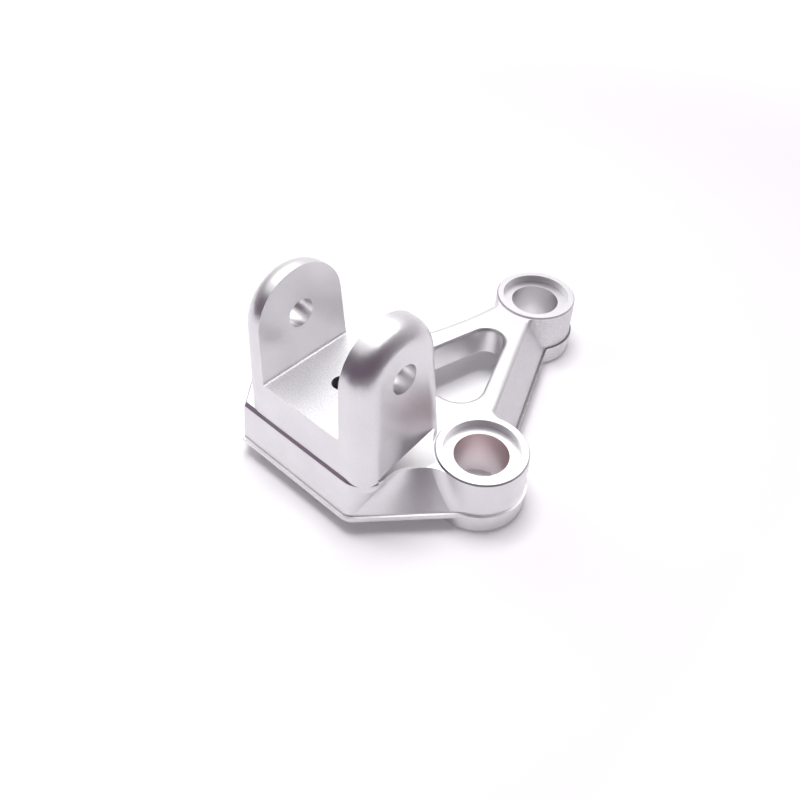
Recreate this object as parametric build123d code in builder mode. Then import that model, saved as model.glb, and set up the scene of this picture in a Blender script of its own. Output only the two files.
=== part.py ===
"""Foot pedal bracket: one aluminium casting with a clevis for the pedal pin and two bolt bosses.

Millimetres, Z up. The origin lies under the middle of the pin axis, on the plane of the three
mounting feet. X runs along the pin, Y from the pin back to the far boss.
"""

import os
from math import asin, atan2, cos, degrees, hypot, radians, sin, tan

from build123d import *

os.makedirs("parts", exist_ok=True)

# Clevis
pin_d = 8.2
pin_z = 48.1
jaw_gap = 28.4
jaw_round_r = 14.3
jaw_half_width = 22.3
jaw_side_draft = 2.5
jaw_front_draft = 2.5
jaw_rear_draft = 4.5
jaw_edge_r = 6.0
floor_z = 32.3
floor_corner_r = 0.6
floor_hole_d = 5.5
jaw_root_depth = 2.0

# Heights of the base
top_z = 19.1
parting_z = 7.1
under_z = 4.2
under_draft = 6.0
lip_height = 1.4
lip_reach = 0.6
pocket_z = 9.4
pocket_wall = 4.5

# Bosses
near = (35.6, 17.2)
far = (6.0, 83.3)
boss_r = 12.85
boss_proud = 0.5
boss_side_draft = 1.1
boss_rim = 0.4
boss_bore_d = 15.2
boss_recess_d = 21.4
boss_recess_depth = 2.3
foot_r = 13.4
clevis_foot_r = 9.0
foot_edge = 0.9
bore_lead_in = 2.0

# Outline of the base at its top, and of the plinth on it
plinth_rise = 1.35
plinth_lean = 30.0
plinth_bury = 0.15
plinth_corner_r = 8.0
front_left = -23.2
left_side = -30.2
left_front = -7.6
left_rear = 10.5
plinth_left_rear = 6.5

# Outline of the base at its parting line, which is wider
wall_run = 1.35
low_right = 16.7
low_corner_r = 4.0
low_turn_length = 6.9
strut_edge_r = 2.2
boss_bury = 1.0
strut_bury = 3.1
scoop_blend_r = 6.0
near_blend_r = 3.0
far_blend_r = 2.0

# Ramp from the clevis's right side down to the base: its ends, and its run and rise at each
ramp_front = -10.5
ramp_rear = 11.0
ramp_front_size = (0.9, 1.2)
ramp_rear_size = (7.8, 4.1)
ramp_bury = 0.8
ramp_groove = 0.5

# Window between the struts
window_corners = [(-5.05, 25.6), (25.42, 25.6), (7.28, 71.58)]
window_radii = [5.3, 7.7, 5.3]
window_top_r = 1.5

# Heights, widths and corners that follow from these sizes
root_z = top_z - jaw_root_depth
plinth_z = top_z + plinth_rise
plinth_run = plinth_rise * tan(radians(plinth_lean))
boss_z = top_z + boss_proud
above_z = pin_z + jaw_round_r + 1
low_left = left_side - wall_run
window_middle = (9.2, 41.0)
cut_back = wall_run * tan(radians(25))


def flank(side: int, draft: float, level: float) -> tuple[float, float]:
    """Finds a point of the clevis's front or rear face, below the round of its top.

    Args:
        side: -1 for the front face, 1 for the rear face.
        draft: Lean of the face from the vertical, in degrees.
        level: Height of the point.

    Returns:
        The point's Y and Z.
    """
    lean = radians(draft)
    drop = pin_z + jaw_round_r * sin(lean) - level
    return side * (jaw_round_r * cos(lean) + drop * tan(lean)), level


def shoulder(side: int, draft: float) -> tuple[float, float]:
    """Finds where the clevis's front or rear face runs into the round of its top."""
    return flank(side, draft, pin_z + jaw_round_r * sin(radians(draft)))


def jaw_side(level: float) -> float:
    """Gives the half width of the clevis at a height."""
    return jaw_half_width + (pin_z - level) * tan(radians(jaw_side_draft))


def boss_wall(level: float) -> float:
    """Gives the radius of a boss's wall at a height."""
    return boss_r + (boss_z - level) * tan(radians(boss_side_draft))


def on_boss(centre: tuple[float, float], angle: float, depth: float) -> tuple[float, float]:
    """Finds a point inside a boss's wall.

    Args:
        centre: X and Y of the boss's axis.
        angle: Direction from the axis, in degrees from +X.
        depth: Distance in from the wall's foot.

    Returns:
        The point's X and Y.
    """
    reach = boss_wall(parting_z) - depth
    return centre[0] + reach * cos(radians(angle)), centre[1] + reach * sin(radians(angle))


def at_level(shapes: ShapeList, level: float) -> ShapeList:
    """Keeps the shapes whose middles lie at a height."""
    return shapes.filter_by_position(Axis.Z, level - 0.01, level + 0.01)


# The plinth's top edges end just inside the clevis's faces
plinth_front = flank(-1, jaw_front_draft, plinth_z)[0] - plinth_run + plinth_bury
plinth_rear = flank(1, jaw_rear_draft, plinth_z)[0] + plinth_run - plinth_bury
plinth_side = jaw_side(plinth_z) + plinth_run - plinth_bury
low_front = plinth_front - wall_run

# The scooped wall's lower edge leaves the corner's arc and runs straight into the near boss
low_corner_middle = (low_right, low_front + low_corner_r)
scoop_end = on_boss(near, -63, boss_bury)
scoop_run = (scoop_end[0] - low_corner_middle[0], scoop_end[1] - low_corner_middle[1])
scoop_angle = degrees(atan2(scoop_run[1], scoop_run[0]) + asin(low_corner_r / hypot(*scoop_run)))

with BuildSketch() as low_outline:
    with BuildLine():
        low_edge = Line((front_left - cut_back, low_front), (low_right, low_front))
        low_corner = JernArc(low_edge @ 1, (1, 0), low_corner_r, scoop_angle)
        low_turn = PolarLine(low_corner @ 1, low_turn_length, scoop_angle)
        low_scoop = Line(low_turn @ 1, scoop_end)
        low_near = Line(low_scoop @ 1, on_boss(near, 80, strut_bury))
        low_strut = Line(low_near @ 1, on_boss(far, -20, strut_bury))
        low_far = Line(low_strut @ 1, on_boss(far, -153, boss_bury))
        low_back = ThreePointArc(low_far @ 1, (-11.6, 47.0), (low_left, left_rear))
        low_side = Line(low_back @ 1, (low_left, left_front - cut_back))
        Line(low_side @ 1, low_edge @ 0)
    make_face()

with BuildSketch() as top_outline:
    with BuildLine():
        top_edge = Line((front_left, plinth_front), (plinth_side - plinth_corner_r, plinth_front))
        top_corner = JernArc(top_edge @ 1, (1, 0), plinth_corner_r, scoop_angle)
        top_turn = JernArc(top_corner @ 1, top_corner % 1, plinth_corner_r, 90 - scoop_angle)
        top_scoop = TangentArc(top_turn @ 1, on_boss(near, -95, boss_bury), tangent=(0, 1))
        top_near = Line(top_scoop @ 1, on_boss(near, 117, strut_bury))
        top_strut = Line(top_near @ 1, on_boss(far, -61, strut_bury))
        top_far = Line(top_strut @ 1, on_boss(far, -128, strut_bury))
        top_back = ThreePointArc(top_far @ 1, (-7.0, 45.7), (left_side, left_rear))
        top_side = Line(top_back @ 1, (left_side, left_front))
        Line(top_side @ 1, top_edge @ 0)
    make_face()

# Ends of the walls inside the bosses, and the blends there
junctions = [
    (low_scoop, top_scoop, scoop_blend_r),
    (low_near, top_near, near_blend_r),
    (low_strut, top_strut, far_blend_r),
    (low_far, top_far, far_blend_r),
]

# Base from its parting line up, its walls leaning in to the narrower top
with BuildPart() as base:
    with BuildSketch(Plane.XY.offset(parting_z)):
        add(low_outline.sketch_local)
    with BuildSketch(Plane.XY.offset(top_z)):
        add(top_outline.sketch_local)
    loft(ruled=True)
    for middle in (top_strut @ 0.5, top_back @ 0.5):
        target = (middle.X, middle.Y, top_z)
        fillet([base.edges().sort_by_distance(target)[0]], strut_edge_r)
    # Bosses up to the level of the struts, blended into the walls that they stand in
    with BuildSketch(Plane.XY.offset(parting_z)):
        with Locations(near, far):
            Circle(boss_wall(parting_z))
    extrude(amount=top_z - parting_z, taper=boss_side_draft)
    for low_line, top_line, radius in junctions:
        middle = (low_line @ 1 + top_line @ 1) * 0.5
        target = (middle.X, middle.Y, (parting_z + top_z) / 2)
        fillet([base.edges().sort_by_distance(target)[0]], radius)

# Clevis block, drafted on all four sides and rounded over its outer edges
with BuildPart() as clevis:
    with BuildSketch(Plane.YZ):
        with BuildLine():
            foot_front = flank(-1, jaw_front_draft, root_z)
            foot_rear = flank(1, jaw_rear_draft, root_z)
            front = Line(foot_front, shoulder(-1, jaw_front_draft))
            crown_top = (0, pin_z + jaw_round_r)
            crown = ThreePointArc(front @ 1, crown_top, shoulder(1, jaw_rear_draft))
            rear = Line(crown @ 1, foot_rear)
            Line(rear @ 1, front @ 0)
        make_face()
    extrude(amount=jaw_side(0), both=True)
    with BuildSketch(Plane.XZ):
        with BuildLine():
            Polyline(
                (-jaw_side(0), 0),
                (jaw_side(0), 0),
                (jaw_side(above_z), above_z),
                (-jaw_side(above_z), above_z),
                close=True,
            )
        make_face()
    extrude(amount=2 * jaw_round_r, both=True, mode=Mode.INTERSECT)
    outer = clevis.faces().filter_by(lambda f: abs(f.normal_at().X) > 0.9)
    fillet([e for f in outer for e in f.edges() if e.center().Z > top_z], jaw_edge_r)

# Feet, and the proud rims of the bosses above the struts
with BuildPart() as bosses:
    for x, y in (near, far):
        with BuildSketch(Plane((x, y, 0), x_dir=(1, 0, 0), z_dir=(0, -1, 0))):
            with BuildLine():
                Polyline(
                    (0, 0),
                    (foot_r - foot_edge, 0),
                    (foot_r, foot_edge),
                    (foot_r, parting_z),
                    (boss_bore_d / 2, parting_z),
                    (boss_bore_d / 2, top_z),
                    (boss_wall(top_z), top_z),
                    (boss_wall(boss_z - boss_rim), boss_z - boss_rim),
                    (boss_r - boss_rim, boss_z),
                    (0, boss_z),
                    close=True,
                )
            make_face()
        revolve(axis=Axis((x, y, 0), (0, 0, 1)))
    with BuildSketch(Plane.XY):
        Circle(clevis_foot_r)
    extrude(amount=parting_z)
    clevis_foot = bosses.faces().sort_by_distance((0, 0, 0))[0]
    chamfer(clevis_foot.edges(), foot_edge)

# Ramp beside the clevis, inside the base's outline and clear of the near boss
with BuildPart() as ramp:
    for y, (run, rise) in ((ramp_front, ramp_front_size), (ramp_rear, ramp_rear_size)):
        with BuildSketch(Plane.XZ.offset(-y)):
            with BuildLine():
                foot = jaw_side(top_z)
                Polyline(
                    (foot - ramp_bury, top_z),
                    (foot + run, top_z),
                    (foot - ramp_bury, top_z + rise * (1 + ramp_bury / run)),
                    close=True,
                )
            make_face()
    loft(ruled=True)
    with BuildSketch(Plane.XY.offset(top_z)):
        add(top_outline.sketch_local)
        with Locations(near):
            Circle(boss_wall(top_z) + ramp_groove, mode=Mode.SUBTRACT)
    extrude(amount=jaw_round_r, mode=Mode.INTERSECT)

with BuildPart() as bracket_body:
    add(base.part)
    # Plinth under the clevis, its edges leaning in
    with BuildSketch(Plane.XY.offset(top_z)):
        with BuildLine():
            Polyline(
                (front_left, plinth_front),
                (plinth_side, plinth_front),
                (plinth_side, plinth_rear),
                (left_side + plinth_rear - plinth_left_rear, plinth_rear),
                (left_side, plinth_left_rear),
                (left_side, left_front),
                close=True,
            )
        make_face()
        fillet(vertices().group_by(Axis.X)[-1], plinth_corner_r)
    extrude(amount=plinth_rise, taper=plinth_lean)
    add(ramp.part)
    add(clevis.part)
    add(bosses.part)
    # Skirt below the parting line, and the thin lip that the mould leaves along it
    with BuildSketch(Plane.XY.offset(parting_z)) as skirt:
        add(low_outline.sketch_local)
        with Locations(near, far):
            Circle(boss_wall(parting_z))
        for low_line, top_line, radius in junctions:
            fillet(skirt.vertices().sort_by_distance(low_line @ 1)[0], radius)
    extrude(amount=under_z - parting_z, taper=under_draft)
    with BuildSketch(Plane.XY.offset(parting_z - lip_height)):
        add(skirt.sketch_local)
        offset(amount=lip_reach)
    extrude(amount=lip_height)
    # Pocket in the underside, round the feet
    with BuildSketch(Plane.XY.offset(under_z)) as pocket:
        add(skirt.sketch_local)
        offset(amount=-pocket_wall)
        with Locations(near, far):
            Circle(foot_r, mode=Mode.SUBTRACT)
        Circle(clevis_foot_r, mode=Mode.SUBTRACT)
    extrude(amount=pocket_z - under_z, mode=Mode.SUBTRACT)
    # Jaw of the clevis, cut clean through with sharp outer edges
    with BuildSketch(Plane.XZ) as jaw:
        with Locations((0, floor_z)):
            Rectangle(jaw_gap, above_z - floor_z, align=(Align.CENTER, Align.MIN))
        fillet(jaw.vertices().group_by(Axis.Y)[0], floor_corner_r)
    extrude(amount=2 * jaw_round_r, both=True, mode=Mode.SUBTRACT)
    # Window between the struts
    with BuildSketch(Plane.XY.offset(under_z)) as window:
        with BuildLine():
            Polyline(*window_corners, close=True)
        make_face()
        for corner, radius in zip(window_corners, window_radii):
            fillet(window.vertices().sort_by_distance(corner)[0], radius)
    extrude(amount=top_z - under_z, mode=Mode.SUBTRACT)
    flat = at_level(bracket_body.faces(), top_z).sort_by(SortBy.AREA)[-1]
    rim = flat.inner_wires().sort_by_distance((*window_middle, top_z))[0]
    fillet(rim.edges(), window_top_r)
    # Recess and bore of each boss
    with BuildSketch(Plane.XY.offset(boss_z)):
        with Locations(near, far):
            Circle(boss_recess_d / 2)
    extrude(amount=-boss_recess_depth, mode=Mode.SUBTRACT)
    # Bores through the bosses, the jaw floor and both ears
    with BuildSketch(Plane.XY):
        with Locations(near, far):
            Circle(boss_bore_d / 2)
        Circle(floor_hole_d / 2)
    extrude(amount=floor_z, mode=Mode.SUBTRACT)
    for x, y in (near, far):
        mouth = at_level(bracket_body.edges(), 0).sort_by_distance((x, y, 0))[0]
        chamfer(mouth, bore_lead_in)
    with BuildSketch(Plane.YZ):
        with Locations((0, pin_z)):
            Circle(pin_d / 2)
    extrude(amount=jaw_side(0), both=True, mode=Mode.SUBTRACT)

bracket_body.part.label = "bracket_body"
export_step(bracket_body.part, "parts/bracket_body.step")
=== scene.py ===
"""Studio picture of a cast aluminium foot pedal bracket.

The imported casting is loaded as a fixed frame, in metres, with Z up and its feet on Z = 0. This
script gives it its satin cast finish and sets it on a pale table under soft light, seen by a
camera from the right, the front and above.

Values whose names end in mm are in millimetres, and other lengths are in metres. Angles are in
degrees. An azimuth turns from +X towards +Y. A Step is a smooth step between 0 and 1: it holds
the value that gives 0 and then the value that gives 1, which may be the smaller.
"""

import logging
import math
from dataclasses import dataclass
from enum import Enum

import bpy
import numpy as np
from mathutils import Matrix, Vector

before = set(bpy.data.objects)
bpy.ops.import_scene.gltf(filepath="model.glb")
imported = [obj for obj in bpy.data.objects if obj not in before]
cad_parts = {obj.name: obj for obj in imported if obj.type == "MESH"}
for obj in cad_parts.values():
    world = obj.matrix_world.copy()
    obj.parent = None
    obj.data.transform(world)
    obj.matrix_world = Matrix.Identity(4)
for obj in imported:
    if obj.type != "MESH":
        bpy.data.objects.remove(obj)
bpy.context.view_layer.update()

LOG = logging.getLogger("foot_pedal_bracket")
MM = 0.001

Colour = tuple[float, float, float, float]
Place = tuple[float, float, float]
Pair = tuple[float, float]
Step = tuple[float, float]


class Axis(Enum):
    """The object's own axes, each as an azimuth and a rise above the horizon."""

    X = (0.0, 0.0)
    Y = (90.0, 0.0)
    Z = (0.0, 90.0)


class Wire:
    """A shader socket that carries a number, so that shader maths reads as an expression."""

    def __init__(self, bench: "Bench", socket: bpy.types.NodeSocket) -> None:
        """Keeps the socket and the bench whose tree it belongs to."""
        self.bench = bench
        self.socket = socket

    def _math(self, operation: str, first: "Wire | float", second: "Wire | float") -> "Wire":
        """Adds one Math node.

        Args:
            operation: The Math node's operation.
            first: Its first value.
            second: Its second value.

        Returns:
            The node's result.
        """
        node = self.bench.node("ShaderNodeMath", {"operation": operation}, {0: first, 1: second})
        return Wire(self.bench, node.outputs[0])

    def __add__(self, other: "Wire | float") -> "Wire":
        """Adds a Wire or a number."""
        return self._math("ADD", self, other)

    __radd__ = __add__

    def __sub__(self, other: "Wire | float") -> "Wire":
        """Takes away a Wire or a number."""
        return self._math("SUBTRACT", self, other)

    def __rsub__(self, other: "Wire | float") -> "Wire":
        """Is taken away from a number."""
        return self._math("SUBTRACT", other, self)

    def __mul__(self, other: "Wire | float") -> "Wire":
        """Multiplies by a Wire or a number."""
        return self._math("MULTIPLY", self, other)

    __rmul__ = __mul__

    def __pow__(self, other: "Wire | float") -> "Wire":
        """Raises to a Wire or a number."""
        return self._math("POWER", self, other)

    def size(self) -> "Wire":
        """Drops the sign."""
        return self._math("ABSOLUTE", self, 0.0)

    def angle_to(self, other: "Wire") -> "Wire":
        """Gives the angle, in radians, that has this Wire as sine and the other as cosine."""
        return self._math("ARCTAN2", self, other)

    def over(self, step: Step, start: float = 0.0) -> "Wire":
        """Rises smoothly over a step, and stays level on both sides of it.

        Args:
            step: The step.
            start: Result before the step, in place of 0.

        Returns:
            A value between start and 1.
        """
        values = {"Value": self, "From Min": step[0], "From Max": step[1], "To Min": start}
        settings = {"interpolation_type": "SMOOTHSTEP"}
        return Wire(self.bench, self.bench.node("ShaderNodeMapRange", settings, values).outputs[0])

    def over_mm(self, step_mm: Step, start: float = 0.0) -> "Wire":
        """Does the same for a length in metres and a step in millimetres."""
        return self.over((step_mm[0] * MM, step_mm[1] * MM), start)


@dataclass(frozen=True)
class Spots:
    """Noise, given by its largest spots, its count of octaves and each finer octave's share."""

    size_mm: float
    octaves: float
    share: float


class Bench:
    """Adds nodes to one shader tree."""

    def __init__(self, tree: bpy.types.NodeTree) -> None:
        """Empties the tree and keeps it."""
        self.tree = tree
        tree.nodes.clear()

    def node(
        self, kind: str, settings: dict[str, object], values: dict[str | int, object]
    ) -> bpy.types.Node:
        """Adds a node, sets its options first and then its sockets.

        Args:
            kind: The node's type.
            settings: Option names and their values.
            values: Socket names or numbers, each with a value, a Wire or a socket.

        Returns:
            The new node.
        """
        made = self.tree.nodes.new(kind)
        for name, value in settings.items():
            setattr(made, name, value)
        for name, value in values.items():
            target = made.inputs[name]
            if isinstance(value, Wire):
                self.tree.links.new(value.socket, target)
            elif isinstance(value, bpy.types.NodeSocket):
                self.tree.links.new(value, target)
            else:
                target.default_value = value
        return made

    def place(self) -> bpy.types.NodeSocket:
        """Gives the point on the surface, in the object's own metres."""
        return self.node("ShaderNodeTexCoord", {}, {}).outputs["Object"]

    def rise(self) -> Wire:
        """Gives the Z of the surface's own normal."""
        normal = self.node("ShaderNodeTexCoord", {}, {}).outputs["Normal"]
        return self.on(normal, Axis.Z)

    def noise(self, where: bpy.types.NodeSocket, spots: Spots) -> Wire:
        """Adds a noise pattern.

        Args:
            where: Coordinates in metres.
            spots: The pattern's measures.

        Returns:
            Noise between 0 and 1, mostly near 0.5.
        """
        values = {
            "Vector": where,
            "Scale": 1 / (spots.size_mm * MM),
            "Detail": spots.octaves,
            "Roughness": spots.share,
        }
        return Wire(self, self.node("ShaderNodeTexNoise", {}, values).outputs[0])

    def tint(
        self,
        share: "Wire | float",
        first: Colour | bpy.types.NodeSocket,
        second: Colour | bpy.types.NodeSocket,
    ) -> bpy.types.NodeSocket:
        """Goes from one colour to another.

        Args:
            share: 0 for the first colour and 1 for the second.
            first: A colour or a colour socket.
            second: A colour or a colour socket.

        Returns:
            The resulting colour.
        """
        mix = self.node("ShaderNodeMix", {"data_type": "RGBA"}, {0: share, 6: first, 7: second})
        return mix.outputs[2]

    def scaled(self, colour: Colour, by: Wire) -> bpy.types.NodeSocket:
        """Gives a colour times a number."""
        values = {0: colour[:3], "Scale": by}
        return self.node("ShaderNodeVectorMath", {"operation": "SCALE"}, values).outputs[0]

    def along(self, vector: bpy.types.NodeSocket, azimuth: float, rise: float = 0.0) -> Wire:
        """Gives a vector's length along a direction.

        Args:
            vector: The vector.
            azimuth: The direction's azimuth.
            rise: Its angle above the horizon.

        Returns:
            The length.
        """
        a, r = math.radians(azimuth), math.radians(rise)
        way = (math.cos(a) * math.cos(r), math.sin(a) * math.cos(r), math.sin(r))
        dot = self.node("ShaderNodeVectorMath", {"operation": "DOT_PRODUCT"}, {0: vector, 1: way})
        return Wire(self, dot.outputs["Value"])

    def on(self, vector: bpy.types.NodeSocket, axis: Axis) -> Wire:
        """Gives a vector's length along one of the object's axes."""
        return self.along(vector, *axis.value)

    def from_axis(self, where: bpy.types.NodeSocket, axis_mm: Pair) -> Wire:
        """Gives the distance from an upright axis.

        Args:
            where: Coordinates in metres.
            axis_mm: The axis's X and Y.

        Returns:
            The distance in metres.
        """
        x = self.on(where, Axis.X) - axis_mm[0] * MM
        y = self.on(where, Axis.Y) - axis_mm[1] * MM
        return (x * x + y * y) ** 0.5

    def seen(self) -> Wire:
        """Tells rays that look at the scene from rays that light it.

        Returns:
            1 for rays from the camera, from gloss or through glass, and 0 for others.
        """
        path = self.node("ShaderNodeLightPath", {}, {})
        names = ("Is Camera Ray", "Is Glossy Ray", "Is Transmission Ray")
        camera, gloss, glass = (Wire(self, path.outputs[name]) for name in names)
        return camera + gloss + glass

    def finish(self, shader: bpy.types.Node, output: str = "ShaderNodeOutputMaterial") -> None:
        """Joins a shader to the tree's output."""
        self.node(output, {}, {"Surface": shader.outputs[0]})


def new_material(name: str) -> tuple[bpy.types.Material, Bench]:
    """Makes an empty material.

    Args:
        name: The material's name.

    Returns:
        The material, and the bench on which its nodes are added.
    """
    made = bpy.data.materials.new(name)
    made.use_nodes = True
    return made, Bench(made.node_tree)


@dataclass(frozen=True)
class SatinCasting:
    """Aluminium casting: tumbled to a bright satin, and left as cast in a few places.

    The floor of the jaw, the outer wall of the right strut and the outside of the far boss keep
    the skin of the mould, which is rougher and speckled. The strut's outer wall is also darker,
    partly its skin's own tone and partly painted shade, and the jaw's floor carries painted
    light, a lighter colour. Painted shade lies as a dark line on the lip along the struts, on the
    plinth's edge and, pinkish, in the near boss's bore. Everywhere a slow noise shifts the colour
    and the roughness by a few percent, and a fine one scatters the gloss.

    Rises are the Z of the surface's normal.
    """

    # Colours.
    colour: Colour = (0.75, 0.74, 0.755, 1.0)
    cloud_colour: Colour = (0.72, 0.705, 0.725, 1.0)
    # Partly the as-cast skin's own darker tone, partly painted shade on the strut's outer wall.
    skin_and_shade_colour: Colour = (0.66, 0.65, 0.67, 1.0)
    # Painted light: the jaw's floor lighter than the rest of the metal.
    painted_light_jaw_colour: Colour = (0.80, 0.795, 0.815, 1.0)
    speck_colour: Colour = (0.52, 0.50, 0.53, 1.0)
    # Painted shade: the dark line on the lip along the struts.
    painted_lip_shade_colour: Colour = (0.22, 0.20, 0.21, 1.0)
    # Painted shade, pinkish, darkening the near boss's bore.
    painted_bore_shade_colour: Colour = (0.62, 0.50, 0.52, 1.0)
    # Painted shade: the plinth's leaning edge.
    painted_plinth_shade_colour: Colour = (0.36, 0.30, 0.37, 1.0)

    # Roughness, and how much each pattern adds to it.
    roughness: float = 0.33
    cast_roughness: float = 0.5
    painted_lip_shade_roughness: float = 0.25
    speck_roughness: float = 0.08
    cast_speck_roughness: float = 0.3
    cloud_roughness: float = 0.03

    # Specks and clouds, and how much more the specks show and stand out on cast metal.
    specks: Spots = Spots(size_mm=0.42, octaves=2.0, share=0.6)
    clouds: Spots = Spots(size_mm=12.0, octaves=3.0, share=0.5)
    speck_step: Step = (0.42, 0.62)
    cloud_step: Step = (0.3, 0.7)
    speck_show: float = 0.10
    cast_speck_show: float = 0.33
    grain_height_mm: float = 0.004
    cast_grain: float = 2.0

    # Walls behind the near boss and below the base's top.
    wall_rise: Step = (0.6, 0.35)
    base_top_mm: Step = (19.0, 18.7)
    behind_mm: Step = (22.0, 30.0)

    # The right strut's outer wall, by how far it lies from the origin along its outward azimuth.
    strut_azimuth: float = 24.0
    strut_line_mm: Step = (37.4, 38.4)

    # The far boss: the X and Y of its axis, and how far its recess and its outside lie from it.
    far_boss_mm: Pair = (6.0, 83.3)
    far_recess_mm: Step = (11.2, 11.4)
    far_outside_mm: Step = (14.5, 15.5)

    # The jaw's floor, by its height and by how far it lies from the jaw's middle.
    jaw_low_mm: Step = (32.0, 32.2)
    jaw_high_mm: Step = (33.3, 32.8)
    jaw_half_mm: Step = (14.5, 14.3)

    # The lip: its height, and how far above or below it counts.
    lip_mm: float = 7.1
    lip_half_mm: Step = (0.5, 0.3)
    lip_rise: Step = (0.3, 0.6)

    # The near boss: the X and Y of its axis, how far its bore's wall lies from it, and how the
    # painted shade on that wall fades downwards.
    near_boss_mm: Pair = (35.6, 17.2)
    bore_mm: Step = (7.8, 7.65)
    bore_shade_mm: Step = (2.0, 14.0)
    bore_shade_at_foot: float = 0.3

    # The plinth's edge, by its height and rise, and the place of the ramp beside it.
    step_low_mm: Step = (19.05, 19.25)
    step_high_mm: Step = (20.45, 20.25)
    step_flattest: Step = (0.8, 0.65)
    step_steepest: Step = (0.2, 0.35)
    ramp_x_mm: Step = (14.0, 18.0)
    ramp_y_mm: Step = (-12.0, -10.0)

    def outer_skin(self, bench: Bench, place: Wire) -> Wire:
        """Marks steep outer walls behind the near boss, below the top of the base.

        Args:
            bench: The material's tree.
            place: 1 where walls of this kind are wanted.

        Returns:
            0 elsewhere and 1 on such a wall.
        """
        where = bench.place()
        steep = bench.rise().size().over(self.wall_rise)
        low = bench.on(where, Axis.Z).over_mm(self.base_top_mm)
        behind = bench.on(where, Axis.Y).over_mm(self.behind_mm)
        return steep * low * behind * place

    def strut_wall(self, bench: Bench) -> Wire:
        """Marks the right strut's outer wall: right of its middle line and off the far boss.

        Args:
            bench: The material's tree.

        Returns:
            0 elsewhere and 1 on that wall.
        """
        where = bench.place()
        right = bench.along(where, self.strut_azimuth).over_mm(self.strut_line_mm)
        off_boss = bench.from_axis(where, self.far_boss_mm).over_mm(self.far_outside_mm)
        return self.outer_skin(bench, right * off_boss)

    def far_wall(self, bench: Bench) -> Wire:
        """Marks the outside of the far boss, between its recess and the struts.

        Args:
            bench: The material's tree.

        Returns:
            0 elsewhere and 1 on that outside.
        """
        away = bench.from_axis(bench.place(), self.far_boss_mm)
        off_recess = away.over_mm(self.far_recess_mm)
        return self.outer_skin(bench, off_recess * (1 - away.over_mm(self.far_outside_mm)))

    def jaw_floor(self, bench: Bench) -> Wire:
        """Marks the jaw's floor and its corners, at their own height and between the ears.

        Args:
            bench: The material's tree.

        Returns:
            0 elsewhere and 1 on the jaw's floor.
        """
        where = bench.place()
        z = bench.on(where, Axis.Z)
        level = z.over_mm(self.jaw_low_mm) * z.over_mm(self.jaw_high_mm)
        return level * bench.on(where, Axis.X).size().over_mm(self.jaw_half_mm)

    def painted_lip_shade(self, bench: Bench) -> Wire:
        """Marks the lip's upper side behind the near boss, where a dark line of shade is painted.

        Args:
            bench: The material's tree.

        Returns:
            0 elsewhere and 1 where the shade is painted.
        """
        where = bench.place()
        level = (bench.on(where, Axis.Z) - self.lip_mm * MM).size().over_mm(self.lip_half_mm)
        behind = bench.on(where, Axis.Y).over_mm(self.behind_mm)
        return level * behind * bench.rise().over(self.lip_rise)

    def painted_bore_shade(self, bench: Bench) -> Wire:
        """Marks the near boss's bore, where a pinkish shade is painted, less so toward its foot.

        Args:
            bench: The material's tree.

        Returns:
            0 elsewhere and 1 where the painted shade is strongest.
        """
        where = bench.place()
        bore = bench.from_axis(where, self.near_boss_mm).over_mm(self.bore_mm)
        return bore * bench.on(where, Axis.Z).over_mm(self.bore_shade_mm, start=self.bore_shade_at_foot)

    def step(self, bench: Bench) -> Wire:
        """Marks the edge of the plinth under the clevis, which is painted dark as shade.

        It leans, so its rise is about a half, at heights between the base's top and the
        plinth's. It doesn't count beside the ramp.

        Args:
            bench: The material's tree.

        Returns:
            0 elsewhere and 1 on the edge.
        """
        where, rise = bench.place(), bench.rise()
        x, y, z = (bench.on(where, axis) for axis in Axis)
        level = z.over_mm(self.step_low_mm) * z.over_mm(self.step_high_mm)
        leaning = rise.over(self.step_steepest) * rise.over(self.step_flattest)
        by_ramp = x.over_mm(self.ramp_x_mm) * y.over_mm(self.ramp_y_mm)
        return level * leaning * (1 - by_ramp)

    def material(self) -> bpy.types.Material:
        """Builds the material.

        Returns:
            The finished material.
        """
        made, bench = new_material("satin_casting")
        where = bench.place()
        strut, floor, painted_lip_shade = self.strut_wall(bench), self.jaw_floor(bench), self.painted_lip_shade(bench)
        cast = strut + floor + self.far_wall(bench)
        speck = bench.noise(where, self.specks)
        cloud = bench.noise(where, self.clouds).over(self.cloud_step)
        dots = speck.over(self.speck_step) * (cast * self.cast_speck_show + self.speck_show)
        colour = bench.tint(cloud, self.colour, self.cloud_colour)
        # Clouds of tone, then the strut's skin and painted shade, the jaw floor's painted light,
        # specks, and painted shade in the bore, on the plinth's edge and on the lip.
        for share, shade in (
            (strut, self.skin_and_shade_colour),
            (floor, self.painted_light_jaw_colour),
            (dots, self.speck_colour),
            (self.painted_bore_shade(bench), self.painted_bore_shade_colour),
            (self.step(bench), self.painted_plinth_shade_colour),
            (painted_lip_shade, self.painted_lip_shade_colour),
        ):
            colour = bench.tint(share, colour, shade)
        rough = self.roughness + cast * (self.cast_roughness - self.roughness)
        rough = rough + painted_lip_shade * self.painted_lip_shade_roughness
        rough = rough + (speck - 0.5) * (cast * self.cast_speck_roughness + self.speck_roughness)
        rough = rough + (cloud - 0.5) * self.cloud_roughness
        height = speck * (cast * self.cast_grain + 1.0)
        bump = bench.node(
            "ShaderNodeBump",
            {},
            {"Height": height, "Strength": 1.0, "Distance": self.grain_height_mm * MM},
        )
        values = {
            "Base Color": colour,
            "Metallic": 1.0,
            "Roughness": rough,
            "Normal": bump.outputs[0],
        }
        bench.finish(bench.node("ShaderNodeBsdfPrincipled", {}, values))
        return made


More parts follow.
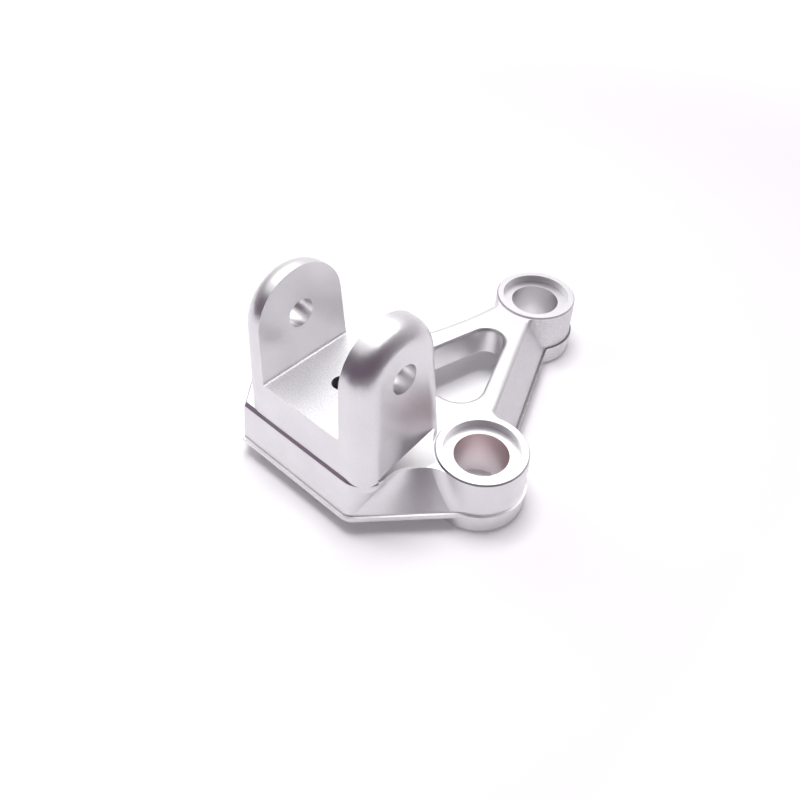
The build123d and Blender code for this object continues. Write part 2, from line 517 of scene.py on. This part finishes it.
@dataclass(frozen=True)
class PaleFloor:
    """Matt pale table top, which takes the shadow and looks a little lighter than it is lit.

    It looks lighter still toward its right, front and far edges, so that they melt into the
    white surround.
    """

    colour: Colour = (0.92, 0.915, 0.93, 1.0)
    lift: float = 0.10
    rim_lift: float = 0.6
    right_rim_mm: Step = (100.0, 160.0)
    front_rim_mm: Step = (150.0, 240.0)
    far_rim_mm: Step = (250.0, 600.0)

    def material(self) -> bpy.types.Material:
        """Builds the material.

        Returns:
            A matt colour with a faint glow that lights nothing matt.
        """
        made, bench = new_material("pale_floor")
        where = bench.place()
        right = bench.on(where, Axis.X).over_mm(self.right_rim_mm)
        front = (0.0 - bench.on(where, Axis.Y)).over_mm(self.front_rim_mm)
        far = bench.from_axis(where, (0.0, 0.0)).over_mm(self.far_rim_mm)
        light = bench.scaled(self.colour, self.lift + (right + front + far) * self.rim_lift)
        paint = bench.node("ShaderNodeBsdfDiffuse", {}, {"Color": self.colour})
        glow = bench.node("ShaderNodeEmission", {}, {"Color": light, "Strength": bench.seen()})
        shaders = {0: paint.outputs[0], 1: glow.outputs[0]}
        bench.finish(bench.node("ShaderNodeAddShader", {}, shaders))
        return made


@dataclass(frozen=True)
class RoomGlow:
    """What the room looks like round the table: dim on one side, white on the other.

    The share of white is the sum of two smooth steps on the angle from the dimmest azimuth, one
    for each way round.
    """

    dim: Colour = (0.135, 0.098, 0.135, 1.0)
    bright: Colour = (1.0, 0.99, 1.0, 1.0)
    dimmest: float = 298.5
    clockwise: Step = (58.0, 168.0)
    anticlockwise: Step = (37.0, 200.0)

    def material(self) -> bpy.types.Material:
        """Builds the material.

        Returns:
            A material that only glows.
        """
        made, bench = new_material("room_glow")
        where = bench.place()
        turn = bench.along(where, self.dimmest + 90).angle_to(bench.along(where, self.dimmest))
        clockwise, anticlockwise = (
            tuple(math.radians(a) for a in step) for step in (self.clockwise, self.anticlockwise)
        )
        white = (0.0 - turn).over(clockwise) + turn.over(anticlockwise)
        colour = bench.tint(white, self.dim, self.bright)
        bench.finish(bench.node("ShaderNodeEmission", {}, {"Color": colour, "Strength": 1.0}))
        return made


def grid_object(name: str, points: np.ndarray, closed: bool = False) -> bpy.types.Object:
    """Makes a mesh object from a grid of points, one quad between each four neighbours.

    Args:
        name: The object's name.
        points: Array of rows by columns by 3, in metres.
        closed: Whether the last column joins the first.

    Returns:
        The new object, linked to the scene.
    """
    rows, columns = points.shape[:2]
    spans = columns if closed else columns - 1
    row, column = np.meshgrid(np.arange(rows - 1), np.arange(spans), indexing="ij")
    after = (column + 1) % columns
    corners = (
        row * columns + column,
        row * columns + after,
        (row + 1) * columns + after,
        (row + 1) * columns + column,
    )
    quads = np.stack(corners, -1).reshape(-1, 4)
    mesh = bpy.data.meshes.new(name)
    mesh.from_pydata(points.reshape(-1, 3), [], quads)
    mesh.update()
    made = bpy.data.objects.new(name, mesh)
    bpy.context.scene.collection.objects.link(made)
    return made


@dataclass
class Bracket:
    """The one-piece casting."""

    node: str = "bracket_body"

    def dress(self, finish: SatinCasting) -> bpy.types.Object:
        """Gives the casting its finish.

        Args:
            finish: The finish of the whole casting.

        Returns:
            The casting's object.
        """
        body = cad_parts[self.node]
        body.data.materials.clear()
        body.data.materials.append(finish.material())
        return body


@dataclass
class Camera:
    """The camera, from the right, the front and above, with its focal length in image widths."""

    place_mm: Place = (109.51, -99.93, 173.22)
    yaw: float = 41.56
    pitch: float = -44.87
    roll: float = -1.58
    focal_widths: float = 765.8 / 800
    sensor_mm: float = 36.0
    nearest: float = 0.01

    def build(self) -> bpy.types.Object:
        """Makes the scene's camera.

        The view direction is turned by yaw from +Y towards -X and by pitch from the horizon, and
        the image is then rolled about it.

        Returns:
            The camera object.
        """
        yaw, pitch, roll = (math.radians(a) for a in (self.yaw, self.pitch, self.roll))
        flat = math.cos(pitch)
        level = Vector((math.cos(yaw), math.sin(yaw), 0))
        ahead = Vector((-math.sin(yaw) * flat, math.cos(yaw) * flat, math.sin(pitch)))
        below = ahead.cross(level)
        right = math.cos(roll) * level + math.sin(roll) * below
        down = math.cos(roll) * below - math.sin(roll) * level
        turn = Matrix((right, -down, -ahead)).transposed().to_4x4()
        lens = bpy.data.cameras.new("camera")
        lens.sensor_width = self.sensor_mm
        lens.lens = self.sensor_mm * self.focal_widths
        lens.clip_start = self.nearest
        made = bpy.data.objects.new("camera", lens)
        made.matrix_world = Matrix.Translation(Vector(self.place_mm) * MM) @ turn
        bpy.context.scene.collection.objects.link(made)
        bpy.context.scene.camera = made
        return made


@dataclass(frozen=True)
class SoftLamp:
    """A flat lamp with a diffuser, which the camera doesn't see.

    Its power follows from the brightness of its face: power = pi x area x brightness.
    """

    name: str
    place: Place
    aim: Place
    size: Pair
    brightness: float
    in_gloss: bool = True
    on_matt: bool = True

    def build(self) -> bpy.types.Object:
        """Hangs the lamp.

        Returns:
            The lamp object.
        """
        light = bpy.data.lights.new(self.name, "AREA")
        light.shape = "RECTANGLE"
        light.size, light.size_y = self.size
        light.energy = math.pi * self.size[0] * self.size[1] * self.brightness
        made = bpy.data.objects.new(self.name, light)
        turn = (Vector(self.aim) - Vector(self.place)).to_track_quat("-Z", "Y")
        made.matrix_world = Matrix.Translation(Vector(self.place)) @ turn.to_matrix().to_4x4()
        made.visible_camera = False
        made.visible_glossy = self.in_gloss
        made.visible_diffuse = self.on_matt
        bpy.context.scene.collection.objects.link(made)
        return made


@dataclass
class RoomScreen:
    """Round screen that stands for the room, and shows only in gloss.

    Its top edge is highest in front, on the right.
    """

    radius: float = 0.7
    bottom: float = -0.5
    top_angle: float = 42.0
    top_sway: float = 17.0
    top_azimuth: float = 325.0
    columns: int = 96
    rows: int = 5

    def build(self) -> bpy.types.Object:
        """Makes the screen.

        A cylinder whose top edge lies at radius x tan(top angle + sway x cos(azimuth - top
        azimuth)). It throws no shadow.

        Returns:
            The screen object.
        """
        around = np.linspace(0, 2 * np.pi, self.columns, endpoint=False)
        rise = self.top_angle + self.top_sway * np.cos(around - np.radians(self.top_azimuth))
        top = self.radius * np.tan(np.radians(rise))
        height = self.bottom + np.linspace(0, 1, self.rows)[:, None] * (top - self.bottom)
        x = np.broadcast_to(self.radius * np.cos(around), height.shape)
        y = np.broadcast_to(self.radius * np.sin(around), height.shape)
        made = grid_object("room_screen", np.stack([x, y, height], -1), closed=True)
        made.data.materials.append(RoomGlow().material())
        made.visible_camera = False
        made.visible_diffuse = False
        made.visible_shadow = False
        return made


@dataclass
class Studio:
    """Pale table in a white surround, with a room screen and soft lamps.

    The panel overhead is what the metal mirrors, and the two lamps light what is matt.
    """

    floor_x: Pair = (-0.62, 0.165)
    floor_y: Pair = (-0.26, 0.62)
    floor_z: float = -0.00005
    floor_points: int = 9
    white: Colour = (1.0, 1.0, 1.0, 1.0)
    fill: Colour = (0.20, 0.165, 0.20, 1.0)
    panel: SoftLamp = SoftLamp(
        name="panel",
        place=(-0.246, 0.265, 0.85),
        aim=(-0.246, 0.265, 0.0),
        size=(1.45, 0.93),
        brightness=1.8,
        on_matt=False,
    )
    top_lamp: SoftLamp = SoftLamp(
        name="top_lamp",
        place=(-0.09, 0.05, 0.84),
        aim=(0.0, 0.03, 0.0),
        size=(0.4, 0.4),
        brightness=12.0,
        in_gloss=False,
    )
    left_lamp: SoftLamp = SoftLamp(
        name="left_lamp",
        place=(-0.42, -0.12, 0.45),
        aim=(-0.05, -0.05, 0.0),
        size=(0.25, 0.25),
        brightness=3.0,
        in_gloss=False,
    )

    def floor(self) -> bpy.types.Object:
        """Lays the floor just under the feet, flat, as a grid over a rectangle.

        Returns:
            The floor object.
        """
        x, y = np.meshgrid(
            np.linspace(*self.floor_x, self.floor_points),
            np.linspace(*self.floor_y, self.floor_points),
        )
        made = grid_object("floor", np.stack([x, y, np.full_like(x, self.floor_z)], -1))
        made.data.materials.append(PaleFloor().material())
        return made

    def world(self) -> bpy.types.World:
        """Makes the surround plain white, and dimmer as a light than it looks.

        Returns:
            The world.
        """
        made = bpy.data.worlds.new("surround")
        made.use_nodes = True
        bench = Bench(made.node_tree)
        colour = bench.tint(bench.seen(), self.fill, self.white)
        back = bench.node("ShaderNodeBackground", {}, {"Color": colour, "Strength": 1.0})
        bench.finish(back, "ShaderNodeOutputWorld")
        bpy.context.scene.world = made
        return made

    def build(self) -> None:
        """Sets up the floor, the surround, the screen and the lamps."""
        self.floor()
        self.world()
        RoomScreen().build()
        for lamp in (self.panel, self.top_lamp, self.left_lamp):
            lamp.build()


def main() -> None:
    """Builds the scene in order: camera, studio, casting."""
    logging.basicConfig(level=logging.INFO, format="%(message)s")
    bpy.context.scene.view_settings.view_transform = "Standard"
    LOG.info("%s placed", Camera().build().name)
    Studio().build()
    LOG.info("studio lit")
    LOG.info("%s dressed", Bracket().dress(SatinCasting()).name)


if __name__ == "__main__":
    main()
